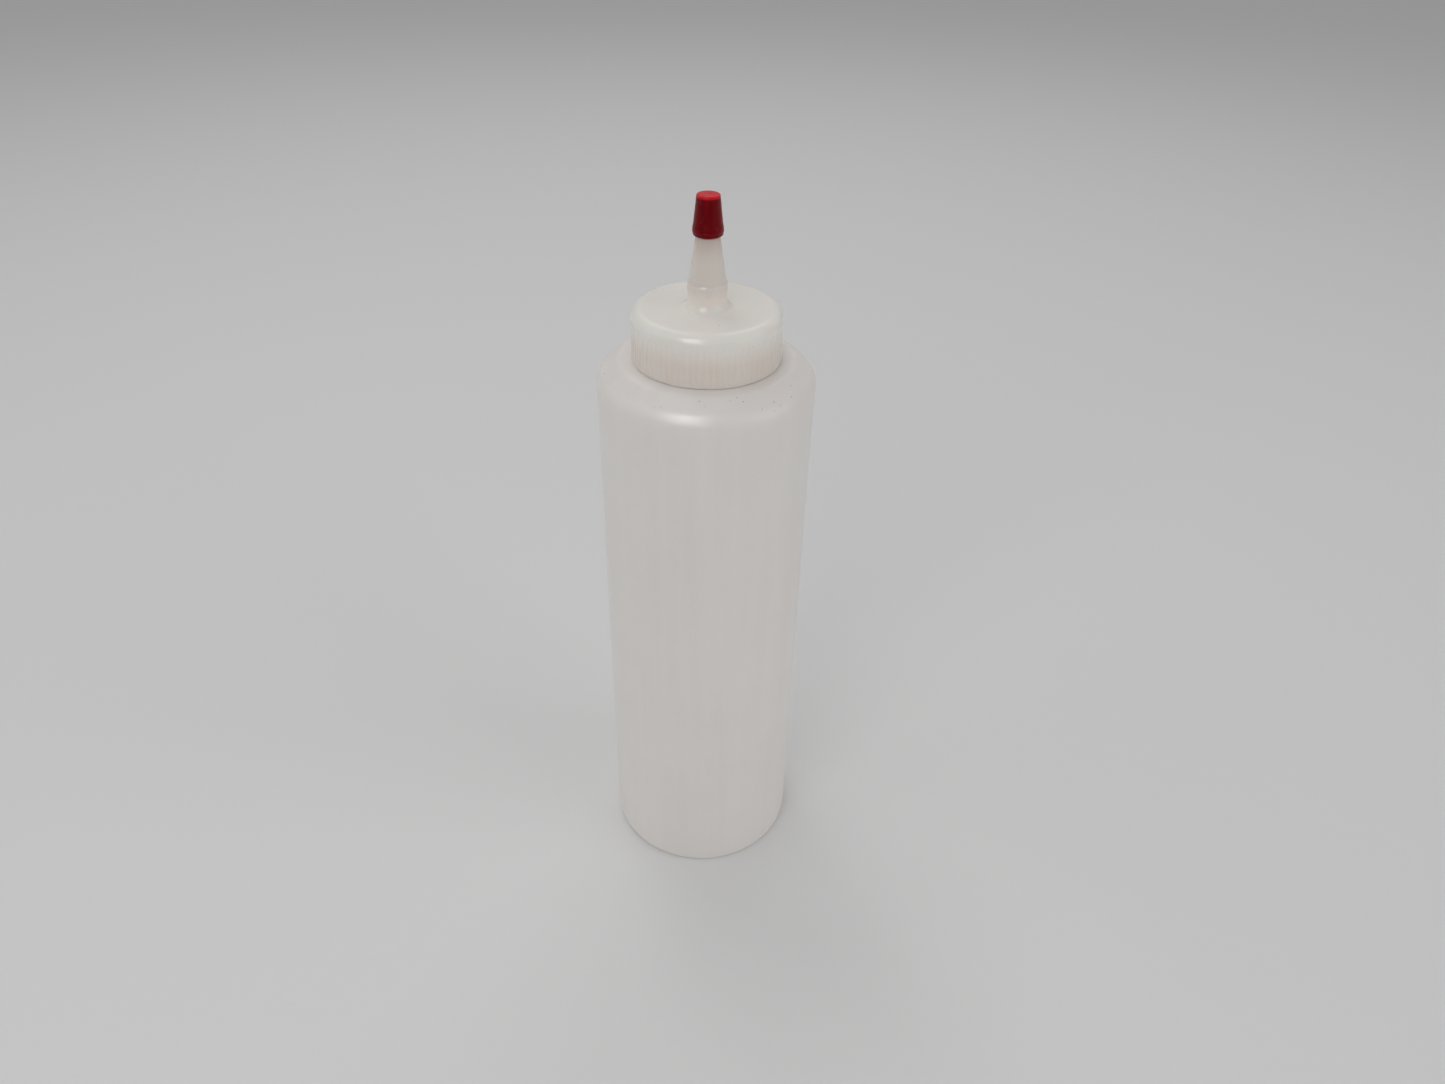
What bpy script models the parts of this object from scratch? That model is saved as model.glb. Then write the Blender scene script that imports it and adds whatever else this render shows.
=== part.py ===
"""Squeeze bottle for glue: a bottle, a screw-on spout cap over its gasket, and a push-on tip cap.

Metres, +Z up. The origin is the centre of the bottle's foot, and every piece is turned about Z.
"""

from math import cos, pi, radians, sin, tan, tau

import bmesh
import bpy

MM = 0.001
CLEARANCE = 0.3 * MM

# Bottle: a straight cylinder with a rounded, sloping shoulder and a flat land round the neck.
BOTTLE_RADIUS = 30.5 * MM
BOTTLE_WALL = 1.1 * MM
SIDE_TOP = 171.1 * MM
SHOULDER_CORNER = 5.9 * MM
SHOULDER_SLOPE = radians(37.0)
LAND_RADIUS = 24.4 * MM
FOOT_CORNER = 1.3 * MM
FOOT_WIDTH = 5.0 * MM
PUSH_UP = 2.2 * MM

# Neck finish: the standard 38-400 screw neck.
NECK_ROOT = 17.5 * MM
NECK_BORE = 15.6 * MM
NECK_TOP = 189.7 * MM
LIP_CHAMFER = 0.3 * MM
THREAD_LEAD = 25.4 / 6.0 * MM
THREAD_TURNS = 1.25
THREAD_LOW_END = 182.0 * MM
NECK_THREAD = {"height": 1.15 * MM, "base": 2.4 * MM, "crest": 0.9 * MM}
CAP_THREAD = {"height": 1.1 * MM, "base": 2.0 * MM, "crest": 0.8 * MM}
CAP_THREAD_BELOW = 1.8 * MM
CAP_THREAD_START = 0.25

# Spout cap: a ribbed skirt, a flat deck and a long tapered spout with its bore.
SKIRT_RADIUS = 20.5 * MM
SKIRT_INSIDE = 18.95 * MM
SKIRT_BOTTOM = 179.0 * MM
RIB_COUNT = 76
RIB_DEPTH = 0.22 * MM
RIB_FLANK = 0.42 * MM
RIB_TOP = 189.9 * MM
RIB_BOTTOM = SKIRT_BOTTOM + 0.25 * MM
DECK_TOP = 193.1 * MM
DECK_THICKNESS = 1.8 * MM
DECK_EDGE = 2.9 * MM
SPOUT_FILLET = 2.3 * MM
SPOUT_FOOT_RADIUS = 5.4 * MM
SPOUT_STEP_HEIGHT = 199.6 * MM
SPOUT_STEP = 0.33 * MM
SPOUT_NECK_RADIUS = 3.2 * MM
SPOUT_TIP_TOP = 220.7 * MM
SPOUT_TIP_RADIUS = 2.2 * MM
BORE_AT_DECK = 4.0 * MM
BORE_AT_STEP = 3.7 * MM
BORE_AT_NECK = 1.9 * MM
BORE_AT_TIP = 1.2 * MM

# Gasket: a punched foam washer between the neck's lip and the deck.
GASKET_RADIUS = 18.3 * MM
GASKET_HOLE = 5.0 * MM

# Tip cap: a hollow plug cap that is pushed over the spout's tip.
TIP_CAP_BOTTOM = 212.3 * MM
TIP_CAP_TOP = 222.5 * MM
TIP_CAP_RIM_RADIUS = 3.92 * MM
TIP_CAP_BEAD_RADIUS = 4.06 * MM
TIP_CAP_BODY_RADIUS = 3.8 * MM
TIP_CAP_TOP_RADIUS = 3.03 * MM
TIP_CAP_BEAD_BOTTOM = 213.4 * MM
TIP_CAP_BEAD_TOP = 214.2 * MM
TIP_CAP_BODY_BOTTOM = 215.4 * MM
TIP_CAP_EDGE = 0.35 * MM
TIP_CAP_ROOF = 1.2 * MM

BOTTLE_SEGMENTS = 64
TIP_SEGMENTS = 32


def clear_scene():
    for obj in list(bpy.data.objects):
        bpy.data.objects.remove(obj, do_unlink=True)


def plastic(name, colour, roughness):
    material = bpy.data.materials.new(name)
    material.use_nodes = True
    shader = material.node_tree.nodes["Principled BSDF"]
    shader.inputs["Base Color"].default_value = (*colour, 1.0)
    shader.inputs["Roughness"].default_value = roughness
    shader.inputs["Metallic"].default_value = 0.0
    return material


def arc(centre_r, centre_z, radius, start, end, steps):
    """Points of (radius, height) along an arc, with angles in degrees from the outward direction."""
    turns = [radians(start + (end - start) * i / steps) for i in range(steps + 1)]
    return [(centre_r + radius * cos(a), centre_z + radius * sin(a)) for a in turns]


def spun_mesh(outline, segments, ring):
    """Spin (radius, height) points about Z. A ring's outline closes on itself."""
    bm = bmesh.new()
    verts = [bm.verts.new((r, 0.0, z)) for r, z in outline]
    pairs = list(zip(verts, verts[1:]))
    if ring:
        pairs.append((verts[-1], verts[0]))
    edges = [bm.edges.new(pair) for pair in pairs]
    bmesh.ops.spin(
        bm, geom=verts + edges, cent=(0, 0, 0), axis=(0, 0, 1), angle=tau, steps=segments, use_merge=True
    )
    bmesh.ops.remove_doubles(bm, verts=bm.verts, dist=0.001 * MM)
    bmesh.ops.recalc_face_normals(bm, faces=bm.faces)
    return bm


def add_object(name, bm, material=None):
    mesh = bpy.data.meshes.new(name)
    bm.to_mesh(mesh)
    bm.free()
    mesh.shade_smooth()
    mesh.set_sharp_from_angle(angle=radians(35.0))
    obj = bpy.data.objects.new(name, mesh)
    if material:
        mesh.materials.append(material)
    bpy.context.scene.collection.objects.link(obj)
    return obj


def thread_bead(name, wall_radius, wall_segments, shape, side, start_turn, drop):
    """A right-hand helical ridge. side is 1 on the outside of a wall, and -1 on the inside of one.

    Its sections stand midway between the wall's own vertical edges, so that no two edges meet.
    """
    root = 0.4 * MM
    steps = round(THREAD_TURNS * wall_segments)
    fade = wall_segments / 10
    bm = bmesh.new()
    sections = []
    for i in range(steps + 1):
        turn = start_turn + (i + 0.5) / wall_segments
        rise = min(1.0, i / fade, (steps - i) / fade)
        crest_r = wall_radius + side * (shape["height"] * rise - 0.5 * root * (1.0 - rise))
        root_r = wall_radius - side * root
        z = THREAD_LOW_END - drop + THREAD_LEAD * turn
        corners = [(root_r, -shape["base"] / 2), (crest_r, -shape["crest"] / 2)]
        corners += [(crest_r, shape["crest"] / 2), (root_r, shape["base"] / 2)]
        sections.append(
            [bm.verts.new((r * cos(tau * turn), r * sin(tau * turn), z + dz)) for r, dz in corners]
        )
    for lower, upper in zip(sections, sections[1:]):
        for k in range(4):
            bm.faces.new((lower[k], lower[k - 1], upper[k - 1], upper[k]))
    bm.faces.new(sections[0])
    bm.faces.new(reversed(sections[-1]))
    bmesh.ops.recalc_face_normals(bm, faces=bm.faces)
    bead = add_object(name, bm)
    bead.hide_render = True
    bead.display_type = "WIRE"
    return bead


def unite(obj, helper):
    union = obj.modifiers.new("thread", "BOOLEAN")
    union.operation = "UNION"
    union.solver = "EXACT"
    union.object = helper


def domed_floor(height, flat_radius, steps):
    """The shallow dome pushed up into the bottle's base, from its edge in to the axis."""
    shares = [1.0 - i / steps for i in range(steps + 1)]
    return [(flat_radius * s, height + PUSH_UP * (1.0 - s * s)) for s in shares]


def shoulder(wall_offset, steps):
    """The rounded corner and the slope up to the land, drawn inwards by wall_offset."""
    corner_r = BOTTLE_RADIUS - SHOULDER_CORNER
    turned = 90.0 - SHOULDER_SLOPE * 180.0 / pi
    points = arc(corner_r, SIDE_TOP, SHOULDER_CORNER - wall_offset, 0.0, turned, steps)
    last_r, last_z = points[-1]
    land_r = LAND_RADIUS - wall_offset * tan(SHOULDER_SLOPE / 2)
    points.append((land_r, last_z + (last_r - land_r) * tan(SHOULDER_SLOPE)))
    return points


def bottle(material):
    foot_outer = BOTTLE_RADIUS - FOOT_CORNER
    foot_inner = foot_outer - FOOT_WIDTH
    inner_corner = FOOT_CORNER - BOTTLE_WALL / 2
    outside = shoulder(0.0, 4)
    inside = shoulder(BOTTLE_WALL, 3)
    land_height = outside[-1][1]
    outline = domed_floor(0.0, foot_inner, 3)[::-1]
    outline += arc(foot_outer, FOOT_CORNER, FOOT_CORNER, -90.0, 0.0, 3)
    outline += outside
    outline += [(NECK_ROOT, land_height), (NECK_ROOT, NECK_TOP - LIP_CHAMFER)]
    outline += [(NECK_ROOT - LIP_CHAMFER, NECK_TOP), (NECK_BORE + LIP_CHAMFER, NECK_TOP)]
    outline += [(NECK_BORE, NECK_TOP - LIP_CHAMFER), (NECK_BORE, inside[-1][1])]
    outline += inside[::-1]
    outline += arc(
        BOTTLE_RADIUS - BOTTLE_WALL - inner_corner, BOTTLE_WALL + inner_corner, inner_corner, 0.0, -90.0, 2
    )
    outline += domed_floor(BOTTLE_WALL, foot_inner, 3)
    body = add_object("bottle", spun_mesh(outline, BOTTLE_SEGMENTS, ring=False), material)
    unite(body, thread_bead("neck_thread_guide", NECK_ROOT, BOTTLE_SEGMENTS, NECK_THREAD, 1, 0.0, 0.0))


def cut_ribs(bm):
    """Sink each facet of the skirt between its neighbours' edges, which stay as the grip ribs."""
    middle = (RIB_TOP + RIB_BOTTOM) / 2
    facets = []
    for face in bm.faces:
        centre = face.calc_center_median()
        if abs(centre.z - middle) < 1.0 * MM and centre.xy.length > SKIRT_INSIDE + 1.0 * MM:
            facets.append(face)
    bmesh.ops.inset_individual(
        bm, faces=facets, thickness=RIB_FLANK, depth=-RIB_DEPTH, use_even_offset=True
    )


def spout_outline():
    """The spout from the deck up to its tip, then down its bore."""
    seat = TIP_CAP_BOTTOM - CLEARANCE
    step_r = SPOUT_FOOT_RADIUS - SPOUT_STEP
    points = arc(
        SPOUT_FOOT_RADIUS + SPOUT_FILLET, DECK_TOP + SPOUT_FILLET, SPOUT_FILLET, 270.0, 180.0, 4
    )
    points += [(SPOUT_FOOT_RADIUS, SPOUT_STEP_HEIGHT), (step_r, SPOUT_STEP_HEIGHT + SPOUT_STEP)]
    points += [(SPOUT_NECK_RADIUS, seat), (SPOUT_NECK_RADIUS - CLEARANCE, seat)]
    points += [(SPOUT_TIP_RADIUS, SPOUT_TIP_TOP), (BORE_AT_TIP, SPOUT_TIP_TOP)]
    points += [(BORE_AT_NECK, seat), (BORE_AT_STEP, SPOUT_STEP_HEIGHT)]
    return points


def spout_cap(material):
    deck_underside = DECK_TOP - DECK_THICKNESS
    outline = [(SKIRT_INSIDE, SKIRT_BOTTOM), (SKIRT_RADIUS, SKIRT_BOTTOM)]
    outline += [(SKIRT_RADIUS, RIB_BOTTOM), (SKIRT_RADIUS, RIB_TOP)]
    outline += arc(SKIRT_RADIUS - DECK_EDGE, DECK_TOP - DECK_EDGE, DECK_EDGE, 0.0, 90.0, 4)
    outline += spout_outline()
    outline += [(BORE_AT_DECK, deck_underside), (SKIRT_INSIDE, deck_underside)]
    bm = spun_mesh(outline, RIB_COUNT, ring=True)
    cut_ribs(bm)
    cap = add_object("spout_cap", bm, material)
    bead = thread_bead(
        "cap_thread_guide", SKIRT_INSIDE, RIB_COUNT, CAP_THREAD, -1, CAP_THREAD_START, CAP_THREAD_BELOW
    )
    unite(cap, bead)


def cap_gasket(material):
    bottom = NECK_TOP + CLEARANCE
    top = DECK_TOP - DECK_THICKNESS - CLEARANCE
    outline = [(GASKET_HOLE, bottom), (GASKET_RADIUS, bottom), (GASKET_RADIUS, top), (GASKET_HOLE, top)]
    add_object("cap_gasket", spun_mesh(outline, BOTTLE_SEGMENTS, ring=True), material)


def tip_cap(material):
    roof = TIP_CAP_TOP - TIP_CAP_ROOF
    edge_r = TIP_CAP_TOP_RADIUS - TIP_CAP_EDGE
    outline = [(0.0, TIP_CAP_TOP)]
    outline += arc(edge_r, TIP_CAP_TOP - TIP_CAP_EDGE, TIP_CAP_EDGE, 90.0, 0.0, 2)
    outline += [(TIP_CAP_BODY_RADIUS, TIP_CAP_BODY_BOTTOM), (TIP_CAP_BEAD_RADIUS, TIP_CAP_BEAD_TOP)]
    outline += [(TIP_CAP_BEAD_RADIUS, TIP_CAP_BEAD_BOTTOM), (TIP_CAP_RIM_RADIUS, TIP_CAP_BOTTOM)]
    outline += [(SPOUT_NECK_RADIUS, TIP_CAP_BOTTOM)]
    outline += [(SPOUT_TIP_RADIUS + CLEARANCE, roof), (0.0, roof)]
    add_object("tip_cap", spun_mesh(outline, TIP_SEGMENTS, ring=False), material)


def build():
    clear_scene()
    bottle(plastic("natural_bottle_plastic", (0.56, 0.54, 0.52), 0.42))
    spout_cap(plastic("natural_cap_plastic", (0.52, 0.48, 0.44), 0.45))
    cap_gasket(plastic("white_foam", (0.80, 0.80, 0.78), 0.85))
    tip_cap(plastic("red_plastic", (0.30, 0.012, 0.022), 0.40))


build()
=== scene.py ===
"""The looks of a glue bottle: milky polyethylene bottle and spout cap, foam gasket and red tip cap."""

from math import cos, pi, radians, sin, tan, tau

import bmesh
import bpy
import numpy as np
from mathutils import Matrix, Vector


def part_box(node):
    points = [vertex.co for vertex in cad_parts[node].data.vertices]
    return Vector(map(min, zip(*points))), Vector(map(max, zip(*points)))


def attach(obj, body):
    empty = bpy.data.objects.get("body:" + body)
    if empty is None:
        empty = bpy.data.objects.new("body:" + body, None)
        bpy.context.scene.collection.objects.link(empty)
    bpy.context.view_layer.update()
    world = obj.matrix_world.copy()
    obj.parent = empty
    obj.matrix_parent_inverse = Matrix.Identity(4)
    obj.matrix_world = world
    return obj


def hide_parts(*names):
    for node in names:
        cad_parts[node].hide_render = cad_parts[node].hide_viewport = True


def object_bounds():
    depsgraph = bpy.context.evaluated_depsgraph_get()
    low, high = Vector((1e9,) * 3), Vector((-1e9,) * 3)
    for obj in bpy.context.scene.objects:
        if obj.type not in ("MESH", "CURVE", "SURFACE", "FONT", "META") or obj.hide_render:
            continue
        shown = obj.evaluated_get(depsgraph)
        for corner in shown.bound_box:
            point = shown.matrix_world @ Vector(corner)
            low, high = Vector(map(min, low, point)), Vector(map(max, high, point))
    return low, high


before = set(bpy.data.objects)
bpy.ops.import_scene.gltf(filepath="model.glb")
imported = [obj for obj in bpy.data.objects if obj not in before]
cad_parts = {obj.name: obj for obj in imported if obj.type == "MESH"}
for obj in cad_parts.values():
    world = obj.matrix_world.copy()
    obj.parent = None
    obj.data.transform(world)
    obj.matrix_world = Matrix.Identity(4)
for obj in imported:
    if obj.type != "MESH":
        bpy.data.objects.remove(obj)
cad_low, cad_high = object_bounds()

MM = 0.001

# Places that the frame gives.
bottle_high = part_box("bottle")[1]
cap_low, cap_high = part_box("spout_cap")
gasket_low, gasket_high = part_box("cap_gasket")
tip_low, tip_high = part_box("tip_cap")
BOTTLE_RADIUS = bottle_high.x
NECK_TOP = bottle_high.z
SKIRT_RADIUS = cap_high.x
SPOUT_TOP = cap_high.z

# Bottle.
WALL = 1.1 * MM
SIDE_TOP = NECK_TOP - 18.6 * MM
SHOULDER_CORNER = 5.9 * MM
SHOULDER_SLOPE = radians(37.0)
LAND_RADIUS = 24.4 * MM
LAND_CORNER = 0.8 * MM
FOOT_CORNER = 1.3 * MM
FOOT_WIDTH = 5.0 * MM
PUSH_UP = 2.2 * MM
SEAM_HEIGHT = 0.10 * MM
SEAM_HALF_WIDTH = 0.45 * MM
PINCH_HEIGHT = 0.25 * MM
PINCH_HALF_WIDTH = 0.8 * MM
PINCH_LENGTH = 19.0 * MM
PINCH_RUN_OUT = 2 * MM
WAVE_HEIGHT = 0.03 * MM
WAIST_DEPTH = 0.2 * MM
WAIST_START = 60 * MM
WAIST_FADE_IN = 80 * MM
WAIST_FADE_OUT = 8 * MM

# Neck and threads.
NECK_ROOT = 17.5 * MM
NECK_BORE = 15.6 * MM
LIP_EDGE = 0.35 * MM
THREAD_LEAD = 25.4 / 6.0 * MM
THREAD_TURNS = 1.25
THREAD_RUN_OUT = 0.09
THREAD_LOW_END = NECK_TOP - 7.7 * MM
NECK_THREAD = {"height": 1.15 * MM, "base": 2.4 * MM, "crest": 0.9 * MM}
CAP_THREAD = {"height": 1.1 * MM, "base": 2.0 * MM, "crest": 0.8 * MM}
CAP_THREAD_BELOW = 1.8 * MM
CAP_THREAD_START = 0.25

# Spout cap. The skirt reaches a little lower than the frame's, so that only a fine gap is left over the land.
SKIRT_DROP = 0.28 * MM
SKIRT_BOTTOM = cap_low.z - SKIRT_DROP
SKIRT_INSIDE = 18.95 * MM
SKIRT_EDGE = 0.1 * MM
SKIRT_LEAD_IN = (0.3 * MM, 0.5 * MM)
DECK_TOP = cap_low.z + 14.1 * MM
RIB_COUNT = 76
RIB_SAMPLES = 8
RIB_DEPTH = 0.14 * MM
RIB_BOTTOM = SKIRT_BOTTOM + 0.7 * MM
RIB_TOP = DECK_TOP - 3.2 * MM
RIB_FADE = 0.9 * MM
RIB_FOOT_FADE = 0.4 * MM
DECK_UNDERSIDE = DECK_TOP - 1.8 * MM
DECK_EDGE = 2.9 * MM
SPOUT_FILLET = 2.3 * MM
SPOUT_FOOT_RADIUS = 5.4 * MM
SPOUT_STEP_HEIGHT = DECK_TOP + 6.5 * MM
SPOUT_STEP = 0.33 * MM
SPOUT_STEP_RISE = 0.5 * MM
SPOUT_NECK_RADIUS = 3.2 * MM
SPOUT_TIP_RADIUS = 2.2 * MM
SPOUT_SEAT = tip_low.z - 0.3 * MM
SPOUT_SEAT_WIDTH = 0.3 * MM
SPOUT_EDGE = 0.22 * MM
BORE = {"deck": 4.0 * MM, "step": 3.7 * MM, "neck": 1.9 * MM, "tip": 1.2 * MM}

# Gasket and tip cap.
GASKET_HOLE = 5.0 * MM
GASKET_EDGE = 0.12 * MM
LIP_PRINT = 0.12 * MM
LIP_PRINT_FADE = 0.4 * MM
TIP_ROOF = tip_high.z - 1.2 * MM
TIP_BODY_RADIUS = 3.8 * MM
TIP_BAND_RADIUS = 4.04 * MM
TIP_TOP_RADIUS = 3.03 * MM
TIP_RIM_RADIUS = 3.92 * MM
TIP_RIDGE_UP = 1.15 * MM
TIP_RIDGE_HALF = 0.15 * MM
TIP_RIDGE_DEPTH = 0.08 * MM
TIP_BAND_UP = 1.9 * MM
TIP_FLARE_UP = 3.1 * MM
TIP_ROUNDING = 0.35 * MM
GATE_RADIUS = 1.1 * MM
GATE_FLOOR = 0.7 * MM
GATE_DEPTH = 0.1 * MM

# Tones of the plastics and the foam, with painted light and shade among them.
BOTTLE_LIGHT = (0.87, 0.834, 0.806)
BOTTLE_DARK = (0.85, 0.81, 0.78)
SKIRT_LIGHT = (0.835, 0.768, 0.71)
SKIRT_DARK = (0.815, 0.745, 0.68)
# Painted light: the deck and the top of the skirt paler, where the light from above falls on them.
DECK_PAINTED_LIGHT = (0.95, 0.877, 0.823)
# Painted shade: the spout darker towards its tip, where its thin wall over the dark bore takes in less light.
SPOUT_FOOT_PAINTED_SHADE = (0.78, 0.73, 0.68)
SPOUT_TIP_PAINTED_SHADE = (0.66, 0.575, 0.52)
MILKY_RUB = (0.92, 0.91, 0.89)
DUST = (0.16, 0.15, 0.14)
FOAM_DARK = (0.84, 0.83, 0.80)
FOAM_LIGHT = (0.90, 0.90, 0.88)
RED_DARK = (0.122, 0.001, 0.003)
RED_LIGHT = (0.148, 0.001, 0.004)
# Painted light: the red cap's top face paler, where the light from above falls on it.
RED_TOP_PAINTED_LIGHT = (0.72, 0.018, 0.03)
RED_RUB = (0.30, 0.03, 0.04)

# What a stretch of an outline is, for the detail that its points get.
PLAIN, SIDE, UNDERSIDE, THREADED, RIBBED = range(5)


# ---------------------------------------------------------------- outlines

def arc(centre_r, centre_z, radius, start, end, steps):
    """Points of (radius, height) along an arc, with angles in degrees from the outward direction."""
    turned = [radians(start + (end - start) * i / steps) for i in range(steps + 1)]
    return [(centre_r + radius * cos(a), centre_z + radius * sin(a)) for a in turned]


def rounded(points, radius, steps=4):
    """The outline with each inner corner cut by a small round of about that radius."""
    out = [points[0]]
    for before, corner, after in zip(points, points[1:], points[2:]):
        before, corner, after = (Vector(p) for p in (before, corner, after))
        towards_before, towards_after = before - corner, after - corner
        reach = min(radius, 0.45 * towards_before.length, 0.45 * towards_after.length)
        start = corner + towards_before.normalized() * reach
        end = corner + towards_after.normalized() * reach
        for i in range(steps + 1):
            t = i / steps
            out.append(tuple((1 - t) ** 2 * start + 2 * t * (1 - t) * corner + t * t * end))
    out.append(points[-1])
    return out


def stretch(points, spacing, kind=PLAIN):
    """Points of (radius, height, kind), with more on straight runs so that they lie about spacing apart."""
    out = [(*points[0], kind)]
    for (r0, z0), (r1, z1) in zip(points, points[1:]):
        steps = max(1, round(((r1 - r0) ** 2 + (z1 - z0) ** 2) ** 0.5 / spacing))
        for i in range(1, steps + 1):
            out.append((r0 + (r1 - r0) * i / steps, z0 + (z1 - z0) * i / steps, kind))
    return out


def without_repeats(outline):
    """The outline without points that lie on the one before."""
    out = [outline[0]]
    for point in outline[1:]:
        if abs(point[0] - out[-1][0]) + abs(point[1] - out[-1][1]) > 0.001 * MM:
            out.append(point)
    return out


# ---------------------------------------------------------------- meshes

def smoothstep(x):
    x = np.clip(x, 0.0, 1.0)
    return x * x * (3.0 - 2.0 * x)


def helical_ridge(z, a, low_end, start, shape):
    """How far a thread's ridge stands out at each point of a wall."""
    total = np.zeros_like(z)
    for whole_turns in range(2):
        turn = a / tau + whole_turns
        away = np.abs(z - low_end - THREAD_LEAD * turn)
        flank = smoothstep((shape["base"] / 2 - away) / ((shape["base"] - shape["crest"]) / 2))
        ends = smoothstep(np.minimum(turn - start, start + THREAD_TURNS - turn) / THREAD_RUN_OUT)
        total = np.maximum(total, shape["height"] * flank * ends)
    return total


def lathe(name, outline, angles, form=None, ring=False):
    """A closed solid with one ring of points for each point of the outline. form moves those points.

    A ring's outline closes on itself. Any other starts and ends on the axis.
    """
    outline = without_repeats(outline)
    r, z, kind, a = np.broadcast_arrays(
        *(np.array(column)[:, None] for column in zip(*outline)), np.array(angles)[None, :]
    )
    if form:
        r, z = form(r, z, a, kind)
    columns = len(angles)
    rows = len(outline)
    points = np.stack([r * np.cos(a), r * np.sin(a), z], axis=-1).reshape(-1, 3)
    bm = bmesh.new()
    verts = [bm.verts.new(p) for p in points]
    grid = [verts[i * columns:(i + 1) * columns] for i in range(rows)]
    for i in range(rows if ring else rows - 1):
        lower, upper = grid[i], grid[(i + 1) % rows]
        for j in range(columns):
            k = (j + 1) % columns
            if not ring and i == 0:
                bm.faces.new((lower[0], upper[k], upper[j]))
            elif not ring and i == rows - 2:
                bm.faces.new((lower[j], lower[k], upper[0]))
            else:
                bm.faces.new((lower[j], lower[k], upper[k], upper[j]))
    bmesh.ops.delete(bm, geom=[v for v in bm.verts if not v.link_faces], context="VERTS")
    mesh = bpy.data.meshes.new(name)
    bm.to_mesh(mesh)
    bm.free()
    mesh.shade_smooth()
    mesh.set_sharp_from_angle(angle=radians(40.0))
    obj = bpy.data.objects.new(name, mesh)
    bpy.context.scene.collection.objects.link(obj)
    return obj


# ---------------------------------------------------------------- bottle

def domed_floor(height, flat_radius, steps):
    """The shallow dome pushed up into the base, from its edge in to the axis."""
    shares = [1.0 - i / steps for i in range(steps + 1)]
    return [(flat_radius * s, height + PUSH_UP * (1.0 - s * s)) for s in shares]


def shoulder(inwards, steps):
    """The shoulder's rounded corner, and the point where its slope meets the land round the neck."""
    corner_r = BOTTLE_RADIUS - SHOULDER_CORNER
    turned = 90.0 - SHOULDER_SLOPE * 180.0 / pi
    corner = arc(corner_r, SIDE_TOP, SHOULDER_CORNER - inwards, 0.0, turned, steps)
    last_r, last_z = corner[-1]
    land_r = LAND_RADIUS - inwards * tan(SHOULDER_SLOPE / 2)
    return corner, (land_r, last_z + (last_r - land_r) * tan(SHOULDER_SLOPE))


def bottle_form(r, z, a, kind):
    """Adds the waves and slight waist of a blown wall, its parting and pinch-off lines, and the thread."""
    height = (z - FOOT_CORNER) / (SIDE_TOP - FOOT_CORNER)
    calm_ends = np.sin(pi * np.clip(height, 0.0, 1.0))
    waves = np.sin(3 * a + 40 * z) * np.sin(55 * z + 0.8) + 0.6 * np.sin(5 * a - 25 * z + 2.0)
    side = kind == SIDE
    seam = smoothstep(1.0 - np.abs(r * np.sin(a)) / SEAM_HALF_WIDTH)
    waist = smoothstep((z - WAIST_START) / WAIST_FADE_IN) * smoothstep((SIDE_TOP - z) / WAIST_FADE_OUT)
    out = np.where(side, WAVE_HEIGHT * calm_ends * waves + SEAM_HEIGHT * seam - WAIST_DEPTH * waist, 0.0)
    ridge = helical_ridge(z, a, THREAD_LOW_END, 0.0, NECK_THREAD)
    out = out + np.where(kind == THREADED, ridge, 0.0)
    pinch = smoothstep(1.0 - np.abs(r * np.sin(a)) / PINCH_HALF_WIDTH)
    pinch = pinch * smoothstep((PINCH_LENGTH - r) / PINCH_RUN_OUT)
    return r + out, z - np.where(kind == UNDERSIDE, PINCH_HEIGHT * pinch, 0.0)


def bottle_angles():
    """Even steps round the bottle, with finer ones at its two parting lines."""
    even = np.arange(256) * tau / 256
    fine = radians(1.0) * np.array([-0.85, -0.55, -0.3, -0.1, 0.1, 0.3, 0.55, 0.85])
    return np.unique(np.round(np.concatenate([even, fine % tau, fine + pi]), 7))


def make_bottle():
    foot_outer = BOTTLE_RADIUS - FOOT_CORNER
    foot_inner = foot_outer - FOOT_WIDTH
    inner_corner = FOOT_CORNER - WALL / 2
    inner_radius = BOTTLE_RADIUS - WALL
    outer_corner, land = shoulder(0.0, 18)
    inside_corner, inner_land = shoulder(WALL, 10)
    wall = arc(foot_outer, FOOT_CORNER, FOOT_CORNER, -90.0, 0.0, 10) + outer_corner
    neck_foot = [(NECK_ROOT, land[1]), (NECK_ROOT, land[1] + 2 * MM)]
    crown = rounded([outer_corner[-1], land] + neck_foot, LAND_CORNER)
    lip_outside = [(NECK_ROOT, NECK_TOP - 1 * MM), (NECK_ROOT, NECK_TOP)]
    lip = rounded(lip_outside + [(NECK_BORE, NECK_TOP), (NECK_BORE, inner_land[1])], LIP_EDGE)
    outline = stretch(domed_floor(0.0, foot_inner, 10)[::-1], 2 * MM, UNDERSIDE)
    outline += stretch(wall, 3 * MM, SIDE)
    outline += stretch(crown, 1.5 * MM)
    outline += stretch([crown[-1], lip[0]], 0.16 * MM, THREADED)
    outline += stretch(lip + [inner_land] + inside_corner[::-1], 1.5 * MM)
    outline += stretch([inside_corner[0], (inner_radius, WALL + inner_corner)], 8 * MM)
    heel = arc(inner_radius - inner_corner, WALL + inner_corner, inner_corner, 0.0, -90.0, 6)
    outline += stretch(heel, 2 * MM)
    outline += stretch(domed_floor(WALL, foot_inner, 8), 3 * MM)
    return lathe("bottle_shell", outline, bottle_angles(), bottle_form)


# ---------------------------------------------------------------- spout cap

def spout_cap_form(r, z, a, kind):
    """Sinks the skirt between its grip ribs, and raises the thread inside it."""
    ridge = np.cos(RIB_COUNT * a / 2) ** 2
    fade = smoothstep((RIB_TOP - z) / RIB_FADE) * smoothstep((z - RIB_BOTTOM) / RIB_FOOT_FADE)
    out = np.where(kind == RIBBED, RIB_DEPTH * fade * (ridge - 1.0), 0.0)
    thread = helical_ridge(z, a, THREAD_LOW_END - CAP_THREAD_BELOW, CAP_THREAD_START, CAP_THREAD)
    return r + out - np.where(kind == THREADED, thread, 0.0), z


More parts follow.
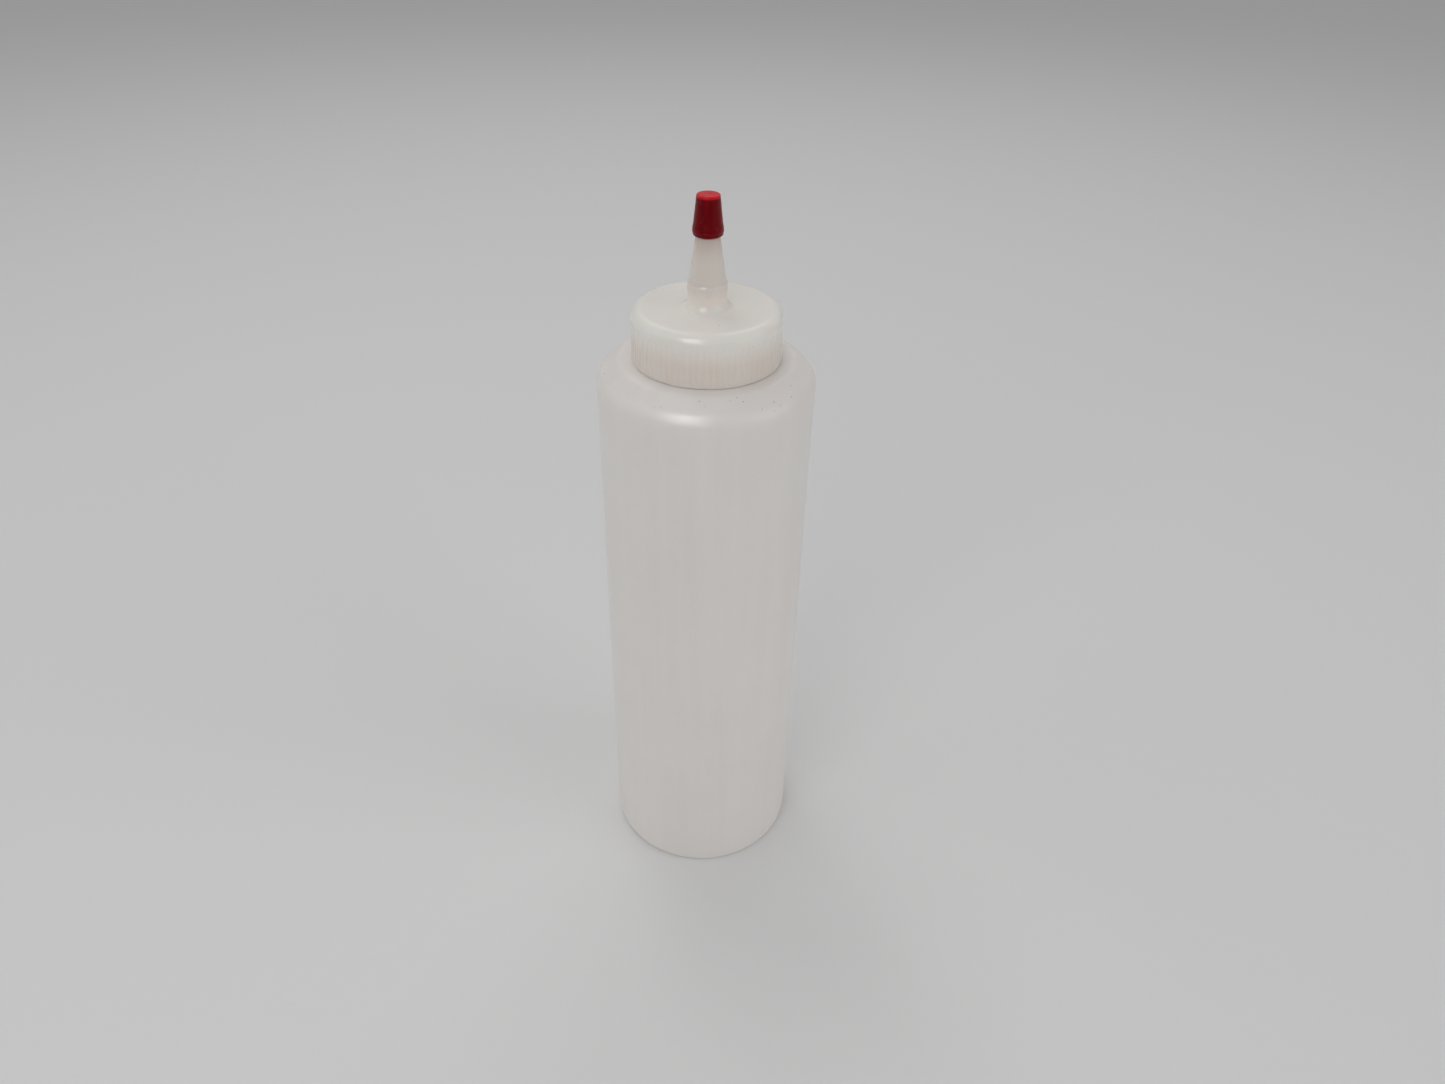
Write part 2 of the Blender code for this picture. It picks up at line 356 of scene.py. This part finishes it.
def spout_outline():
    """The spout from the deck up to its tip, then down its bore to the deck's underside."""
    step_r = SPOUT_FOOT_RADIUS - SPOUT_STEP
    foot = arc(SPOUT_FOOT_RADIUS + SPOUT_FILLET, DECK_TOP + SPOUT_FILLET, SPOUT_FILLET, 270.0, 180.0, 10)
    step = [(SPOUT_FOOT_RADIUS, SPOUT_STEP_HEIGHT), (step_r, SPOUT_STEP_HEIGHT + SPOUT_STEP_RISE)]
    seat = [(SPOUT_NECK_RADIUS, SPOUT_SEAT), (SPOUT_NECK_RADIUS - SPOUT_SEAT_WIDTH, SPOUT_SEAT)]
    tip = [(SPOUT_TIP_RADIUS, SPOUT_TOP), (BORE["tip"], SPOUT_TOP)]
    bore = [(BORE["neck"], SPOUT_SEAT), (BORE["step"], SPOUT_STEP_HEIGHT), (BORE["deck"], DECK_UNDERSIDE)]
    upwards = [foot[-1]] + step + seat + tip
    return foot[:-1] + rounded(upwards + bore + [(SKIRT_INSIDE, DECK_UNDERSIDE)], SPOUT_EDGE)


def make_spout_cap():
    lead_width, lead_height = SKIRT_LEAD_IN
    rim = [(SKIRT_INSIDE, SKIRT_BOTTOM + lead_height), (SKIRT_INSIDE + lead_width, SKIRT_BOTTOM)]
    rim += [(SKIRT_RADIUS - SKIRT_EDGE, SKIRT_BOTTOM), (SKIRT_RADIUS, SKIRT_BOTTOM + SKIRT_EDGE)]
    foot = [rim[-1], (SKIRT_RADIUS, RIB_BOTTOM + 0.5 * MM)]
    ribs = [foot[-1], (SKIRT_RADIUS, RIB_TOP - RIB_FADE)]
    edge = arc(SKIRT_RADIUS - DECK_EDGE, DECK_TOP - DECK_EDGE, DECK_EDGE, 0.0, 90.0, 12)
    outline = stretch(rounded(rim, 0.15 * MM, 3), 1 * MM)[:-1]
    outline += stretch(foot, 0.1 * MM, RIBBED)
    outline += stretch(ribs, 3 * MM, RIBBED)
    outline += stretch([ribs[-1], (SKIRT_RADIUS, RIB_TOP)], 0.15 * MM, RIBBED)
    outline += stretch(edge, 1 * MM)
    outline += stretch([edge[-1]] + spout_outline(), 2.5 * MM)
    outline += stretch([(SKIRT_INSIDE, DECK_UNDERSIDE - 0.1 * MM), rim[0]], 0.18 * MM, THREADED)
    angles = np.arange(RIB_COUNT * RIB_SAMPLES) * tau / (RIB_COUNT * RIB_SAMPLES)
    return lathe("spout_cap_shell", outline[:-1], angles, spout_cap_form, ring=True)


# ---------------------------------------------------------------- gasket and tip cap

def gasket_form(r, z, a, kind):
    """Presses the neck's lip a little way into the washer's underside."""
    on_lip = smoothstep((r - NECK_BORE) / LIP_PRINT_FADE) * smoothstep((NECK_ROOT - r) / LIP_PRINT_FADE)
    return r, z + np.where(kind == UNDERSIDE, LIP_PRINT * on_lip, 0.0)


def make_gasket():
    low, high, outer = gasket_low.z, gasket_high.z, gasket_high.x
    outline = stretch([(GASKET_HOLE, low), (outer - 0.1 * MM, low)], 0.25 * MM, UNDERSIDE)
    edges = [outline[-1][:2], (outer, low), (outer, high), (GASKET_HOLE, high), (GASKET_HOLE, low)]
    outline += stretch(rounded(edges, GASKET_EDGE), 4 * MM)
    return lathe("gasket_washer", outline[:-1], np.arange(160) * tau / 160, gasket_form, ring=True)


def make_tip_cap():
    """A tapered cap that flares to a band with a fine parting ridge, over an inward rim."""
    bottom, top = tip_low.z, tip_high.z
    ridge = bottom + TIP_RIDGE_UP
    inside = [(0.0, TIP_ROOF), (SPOUT_TIP_RADIUS + 0.3 * MM, TIP_ROOF), (SPOUT_NECK_RADIUS, bottom)]
    rim = [(TIP_RIM_RADIUS, bottom), (TIP_BAND_RADIUS, ridge - TIP_RIDGE_HALF)]
    band = [(TIP_BAND_RADIUS + TIP_RIDGE_DEPTH, ridge), (TIP_BAND_RADIUS, ridge + TIP_RIDGE_HALF)]
    flare = [(TIP_BAND_RADIUS, bottom + TIP_BAND_UP), (TIP_BODY_RADIUS, bottom + TIP_FLARE_UP)]
    dimple = [(GATE_RADIUS, top), (GATE_FLOOR, top - GATE_DEPTH), (0.0, top - GATE_DEPTH)]
    outline = rounded(inside + rim + band + flare + [(TIP_TOP_RADIUS, top)] + dimple, TIP_ROUNDING, 6)
    return lathe("red_tip_cap", stretch(outline, 0.8 * MM), np.arange(128) * tau / 128)


# ---------------------------------------------------------------- materials

def set_inputs(node, **values):
    for name, value in values.items():
        node.inputs[name.replace("_", " ")].default_value = value


class Surface:
    """A material with one Principled shader, and short ways to add the nodes that feed it."""

    def __init__(self, name):
        self.material = bpy.data.materials.new(name)
        self.material.use_nodes = True
        self.tree = self.material.node_tree
        self.shader = self.tree.nodes["Principled BSDF"]
        self.place = self.add("ShaderNodeTexCoord").outputs["Object"]

    def add(self, kind, **settings):
        node = self.tree.nodes.new(kind)
        for name, value in settings.items():
            setattr(node, name, value)
        return node

    def join(self, source, target):
        self.tree.links.new(source, target)

    def height(self):
        node = self.add("ShaderNodeSeparateXYZ")
        self.join(self.place, node.inputs["Vector"])
        return node.outputs["Z"]

    def stretched(self, scale, rotation=(0.0, 0.0, 0.0)):
        mapping = self.add("ShaderNodeMapping")
        mapping.inputs["Scale"].default_value = scale
        mapping.inputs["Rotation"].default_value = rotation
        self.join(self.place, mapping.inputs["Vector"])
        return mapping.outputs["Vector"]

    def noise(self, scale, detail=2.0, roughness=0.5, vector=None):
        node = self.add("ShaderNodeTexNoise")
        set_inputs(node, Scale=scale, Detail=detail, Roughness=roughness)
        self.join(vector or self.place, node.inputs["Vector"])
        return node.outputs["Fac"]

    def ranged(self, value, low, high, to_low=0.0, to_high=1.0):
        node = self.add("ShaderNodeMapRange", interpolation_type="SMOOTHSTEP")
        node.inputs["From Min"].default_value = low
        node.inputs["From Max"].default_value = high
        node.inputs["To Min"].default_value = to_low
        node.inputs["To Max"].default_value = to_high
        self.join(value, node.inputs["Value"])
        return node.outputs["Result"]

    def maths(self, operation, first, second):
        node = self.add("ShaderNodeMath", operation=operation)
        for socket, value in zip(node.inputs, (first, second)):
            if isinstance(value, float):
                socket.default_value = value
            else:
                self.join(value, socket)
        return node.outputs["Value"]

    def mixed(self, factor, first, second):
        node = self.add("ShaderNodeMix", data_type="RGBA")
        self.join(factor, node.inputs["Factor"])
        for socket, value in zip((node.inputs[6], node.inputs[7]), (first, second)):
            if isinstance(value, tuple):
                socket.default_value = (*value, 1.0)
            else:
                self.join(value, socket)
        return node.outputs[2]

    def bumped(self, *layers):
        """Chains bumps of (height, strength, distance) into the shader's normal."""
        normal = None
        for height, strength, distance in layers:
            bump = self.add("ShaderNodeBump")
            bump.inputs["Strength"].default_value = strength
            bump.inputs["Distance"].default_value = distance
            self.join(height, bump.inputs["Height"])
            if normal:
                self.join(normal, bump.inputs["Normal"])
            normal = bump.outputs["Normal"]
        self.join(normal, self.shader.inputs["Normal"])


def hairlines(surface, turn):
    """Sparse hair-thin rubs that run one way, as a bottle gets from being handled."""
    along = surface.stretched((1500.0, 1500.0, 38.0), (turn, 0.7 * turn, 0.0))
    return surface.ranged(surface.noise(1.0, 1.0, 0.5, along), 0.72, 0.80)


def specks(surface, scale, size, kept, low, high):
    """Small round dust marks, on the stretch between two heights only."""
    cells = surface.add("ShaderNodeTexVoronoi")
    set_inputs(cells, Scale=scale, Randomness=1.0)
    surface.join(surface.place, cells.inputs["Vector"])
    dots = surface.ranged(cells.outputs["Distance"], size, size * 0.5)
    chosen = surface.add("ShaderNodeSeparateColor")
    surface.join(cells.outputs["Color"], chosen.inputs["Color"])
    some = surface.ranged(chosen.outputs["Red"], 1.0 - kept, 1.0 - kept + 0.02)
    above = surface.ranged(surface.height(), low, low + 0.5 * MM)
    below = surface.ranged(surface.height(), high, high - 0.5 * MM)
    placed = surface.maths("MULTIPLY", above, below)
    return surface.maths("MULTIPLY", surface.maths("MULTIPLY", dots, some), placed)


def milky_plastic(name, light, dark, spread, roughness, gloss, dust, dust_heights, painted_light_and_shade_bands=()):
    """Natural polyethylene: light sinks in and spreads, under a satin skin with fine grain and rubs.

    dust is the share of places with a speck, between the two dust heights. Each band is the two heights
    between which the tone changes, and the tone above them. The bands paint light and shade: a lighter tone
    where more light falls, a darker one where less does.
    """
    surface = Surface(name)
    cloud = surface.noise(38.0, 3.0)
    streaks = surface.noise(1.0, 3.0, 0.5, surface.stretched((210.0, 210.0, 9.0)))
    tone = surface.ranged(surface.maths("ADD", cloud, streaks), 0.7, 1.3)
    rubs = surface.maths("MAXIMUM", hairlines(surface, 0.15), hairlines(surface, -0.5))
    marks = specks(surface, 620.0, 0.15, dust, *dust_heights)
    colour = surface.mixed(tone, dark, light)
    # Painted light and shade: each band moves the tone above a height towards a lighter or a darker one.
    for start, end, painted_tone in painted_light_and_shade_bands:
        colour = surface.mixed(surface.ranged(surface.height(), start, end), colour, painted_tone)
    colour = surface.mixed(surface.maths("MULTIPLY", rubs, 0.25), colour, MILKY_RUB)
    colour = surface.mixed(surface.maths("MULTIPLY", marks, 0.55), colour, DUST)
    surface.join(colour, surface.shader.inputs["Base Color"])
    rough = surface.ranged(surface.noise(60.0, 3.0), 0.3, 0.7, roughness - 0.03, roughness + 0.04)
    rough = surface.maths("ADD", rough, surface.maths("MULTIPLY", rubs, 0.04))
    surface.join(rough, surface.shader.inputs["Roughness"])
    ripple, grain = surface.noise(90.0, 2.0), surface.noise(3200.0, 2.0)
    surface.bumped((ripple, 0.25, 0.08 * MM), (grain, 0.25, 0.02 * MM))
    set_inputs(surface.shader, Subsurface_Weight=1.0, Subsurface_Scale=spread)
    set_inputs(surface.shader, IOR=1.51, Specular_IOR_Level=gloss)
    surface.shader.inputs["Subsurface Radius"].default_value = (1.0, 0.93, 0.84)
    return surface.material


def foam():
    """White closed-cell foam: matte, with fine cells."""
    surface = Surface("white_foam")
    cells = surface.add("ShaderNodeTexVoronoi")
    set_inputs(cells, Scale=2400.0)
    surface.join(surface.place, cells.inputs["Vector"])
    colour = surface.mixed(surface.noise(180.0, 3.0), FOAM_DARK, FOAM_LIGHT)
    surface.join(colour, surface.shader.inputs["Base Color"])
    rough = surface.ranged(surface.noise(300.0), 0.3, 0.7, 0.8, 0.92)
    surface.join(rough, surface.shader.inputs["Roughness"])
    surface.bumped((cells.outputs["Distance"], 0.5, 0.10 * MM))
    return surface.material


def red_plastic():
    """Pigmented plastic with faint flow lines, a satin grain, small rubs and a top face painted paler as
    painted light, where the light from above falls on it.
    """
    surface = Surface("red_plastic")
    flow = surface.noise(1.0, 3.0, 0.5, surface.stretched((900.0, 900.0, 90.0)))
    rubs = surface.ranged(surface.noise(700.0, 3.0), 0.60, 0.72)
    colour = surface.mixed(surface.ranged(flow, 0.35, 0.65), RED_DARK, RED_LIGHT)
    # Painted light: the top face paler, where the light from above falls on it, mottled by noise at its edge.
    painted_top_light = surface.ranged(surface.height(), tip_high.z - 0.9 * MM, tip_high.z - 0.35 * MM)
    painted_top_light = surface.maths("MULTIPLY", painted_top_light, surface.ranged(surface.noise(1600.0, 3.0), 0.3, 0.7, 0.75, 1.0))
    colour = surface.mixed(painted_top_light, colour, RED_TOP_PAINTED_LIGHT)
    colour = surface.mixed(surface.maths("MULTIPLY", rubs, 0.2), colour, RED_RUB)
    surface.join(colour, surface.shader.inputs["Base Color"])
    rough = surface.ranged(surface.noise(500.0, 2.0), 0.3, 0.7, 0.30, 0.42)
    rough = surface.maths("ADD", rough, surface.maths("MULTIPLY", rubs, 0.12))
    surface.join(rough, surface.shader.inputs["Roughness"])
    surface.bumped((flow, 0.25, 0.03 * MM), (surface.noise(5000.0, 2.0), 0.25, 0.02 * MM))
    set_inputs(surface.shader, Subsurface_Weight=0.2, Subsurface_Scale=0.4 * MM, Specular_IOR_Level=0.4)
    set_inputs(surface.shader, Sheen_Weight=0.35, Sheen_Roughness=0.35, Sheen_Tint=(1.0, 0.06, 0.08, 1.0))
    surface.shader.inputs["Specular Tint"].default_value = (1.0, 0.15, 0.16, 1.0)
    surface.shader.inputs["Subsurface Radius"].default_value = (1.0, 0.15, 0.12)
    return surface.material


def fit(piece, node, body, material):
    """Stands the piece in for a CAD node, on that node's body."""
    piece.data.materials.append(material)
    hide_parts(node)
    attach(piece, body)


# ---------------------------------------------------------------- camera, floor and light

def make_camera():
    """Close above the bottle and in front of it, looking down at it with a slight tilt."""
    pitch, yaw, roll = radians(35.58), radians(1.255), radians(1.399)
    forward = Vector((sin(yaw) * cos(pitch), cos(yaw) * cos(pitch), -sin(pitch)))
    level = Vector((cos(yaw), -sin(yaw), 0.0))
    upward = level.cross(forward)
    right = level * cos(roll) + upward * sin(roll)
    up = upward * cos(roll) - level * sin(roll)
    data = bpy.data.cameras.new("camera")
    data.sensor_fit = "HORIZONTAL"
    data.sensor_width = 36.0
    data.lens = 25.26
    data.clip_start = 0.01
    camera = bpy.data.objects.new("camera", data)
    turned = Matrix((right, up, -forward)).transposed().to_4x4()
    camera.matrix_world = Matrix.Translation((0.0, -0.2559, 0.2990)) @ turned
    bpy.context.scene.collection.objects.link(camera)
    bpy.context.scene.camera = camera


def make_floor():
    mesh = bpy.data.meshes.new("floor")
    half = 15.0
    corners = [(-half, -half, 0.0), (half, -half, 0.0), (half, half, 0.0), (-half, half, 0.0)]
    mesh.from_pydata(corners, [], [(0, 1, 2, 3)])
    floor = bpy.data.objects.new("floor", mesh)
    bpy.context.scene.collection.objects.link(floor)
    surface = Surface("floor_paper")
    set_inputs(surface.shader, Base_Color=(0.8, 0.8, 0.8, 1.0), Roughness=0.9)
    mesh.materials.append(surface.material)


def softbox(name, azimuth, elevation, distance, size, brightness, glossy=True, diffuse=True):
    """An area light aimed at the bottle's upper half. Azimuth 0 is in front of it and 90 on its right.

    One that isn't glossy lights the surfaces without a mirror image of itself in their gloss. One that isn't
    diffuse gives only that mirror image.
    """
    target = Vector((0.0, 0.0, 0.6 * cad_high.z))
    a, e = radians(azimuth), radians(elevation)
    away = Vector((sin(a) * cos(e), -cos(a) * cos(e), sin(e)))
    data = bpy.data.lights.new(name, "AREA")
    data.shape = "RECTANGLE"
    data.size, data.size_y = size
    data.energy = brightness * pi * size[0] * size[1]
    light = bpy.data.objects.new(name, data)
    light.location = target + away * distance
    light.rotation_mode = "QUATERNION"
    light.rotation_quaternion = away.to_track_quat("Z", "Y")
    light.visible_camera = False
    light.visible_glossy = glossy
    light.visible_diffuse = diffuse
    bpy.context.scene.collection.objects.link(light)


def make_light():
    world = bpy.data.worlds.new("studio")
    world.use_nodes = True
    background = world.node_tree.nodes["Background"]
    background.inputs["Color"].default_value = (1.0, 1.0, 1.0, 1.0)
    background.inputs["Strength"].default_value = 0.36
    bpy.context.scene.world = world
    softbox("key", 215.0, 65.0, 1.2, (0.4, 0.4), 2.65, glossy=False)
    softbox("rear", 180.0, 48.0, 1.5, (1.2, 0.6), 1.05)
    softbox("overhead", -40.0, 74.0, 1.2, (0.5, 0.5), 0.82, glossy=False)
    softbox("front", -28.0, 25.0, 0.9, (0.5, 0.4), 1.7, glossy=False)
    softbox("left", -85.0, 30.0, 1.4, (1.0, 1.2), 0.3)
    softbox("right", 66.0, 22.0, 1.4, (1.0, 1.0), 1.0)
    softbox("lamp", -20.0, 25.0, 0.9, (0.5, 0.08), 10.0, diffuse=False)
    softbox("panel", -26.0, 48.0, 0.9, (0.35, 0.45), 6.0, diffuse=False)


make_camera()
make_floor()
make_light()
bpy.context.scene.view_settings.view_transform = "Standard"

milky_body = milky_plastic(
    "milky_bottle", BOTTLE_LIGHT, BOTTLE_DARK, spread=0.9 * MM, roughness=0.36, gloss=0.85,
    dust=0.16, dust_heights=(SIDE_TOP + 3 * MM, NECK_TOP),
)
milky_cap = milky_plastic(
    "milky_cap", SKIRT_LIGHT, SKIRT_DARK, spread=1.5 * MM, roughness=0.19, gloss=0.4,
    dust=0.03, dust_heights=(SKIRT_BOTTOM - MM, DECK_TOP + MM),
    # Painted light on the deck and the top of the skirt, and painted shade that darkens the spout towards its
    # tip.
    painted_light_and_shade_bands=(
        (DECK_TOP - 10 * MM, DECK_TOP - 3 * MM, DECK_PAINTED_LIGHT),
        (DECK_TOP + 1 * MM, DECK_TOP + 7 * MM, SPOUT_FOOT_PAINTED_SHADE),
        (SPOUT_SEAT - 7 * MM, SPOUT_SEAT + 1.5 * MM, SPOUT_TIP_PAINTED_SHADE),
    ),
)
fit(make_bottle(), "bottle", "bottle_body", milky_body)
fit(make_spout_cap(), "spout_cap", "spout_cap_body", milky_cap)
fit(make_gasket(), "cap_gasket", "gasket_body", foam())
fit(make_tip_cap(), "tip_cap", "tip_cap_body", red_plastic())
